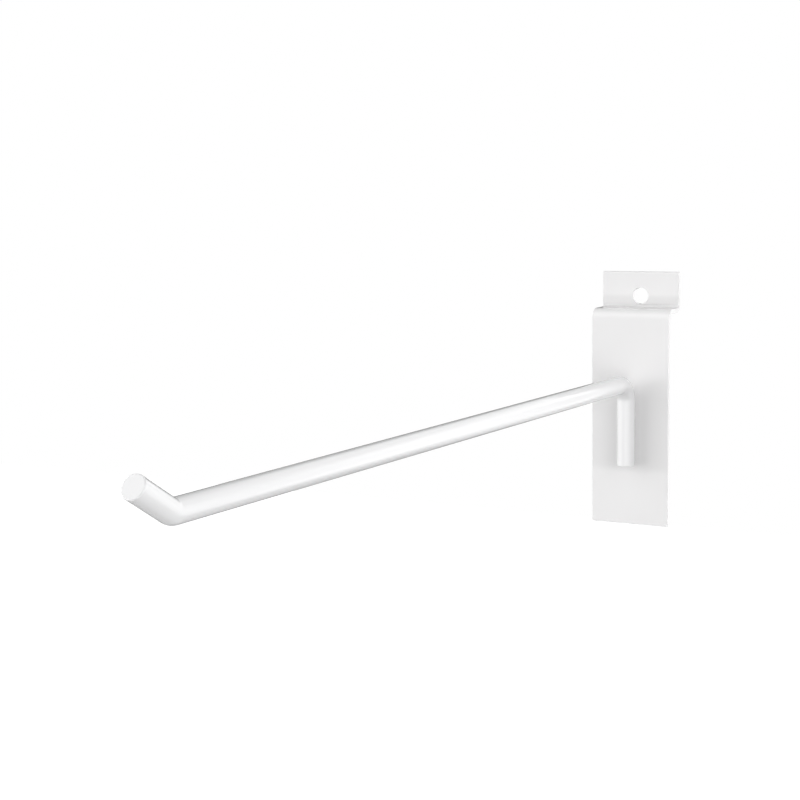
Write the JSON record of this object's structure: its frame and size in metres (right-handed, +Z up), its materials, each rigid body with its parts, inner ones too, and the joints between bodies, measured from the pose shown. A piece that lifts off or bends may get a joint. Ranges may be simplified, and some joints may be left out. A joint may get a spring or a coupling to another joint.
{
  "type": "slatwall hook",
  "caption": "Straight display hook for slatted wall panels: a folded back plate with a rear tab carries a long round bar with an upturned tip.",
  "frame": {"origin": "on the plate's back face, at the middle of its width and level with the arm's axis", "axes": "+Y back into the slatted panel, against the way the arm reaches; +Z up; X across the plate"},
  "size_m": [0.0274, 0.2772, 0.0855],
  "materials": {
    "plate_paint": "white powder coat on folded steel sheet, satin",
    "bar_paint": "white powder coat on bent steel bar, glossy"
  },
  "bodies": {
    "root": {"back_plate": "plate_paint", "hook_rod": "bar_paint"}
  },
  "joints": []
}
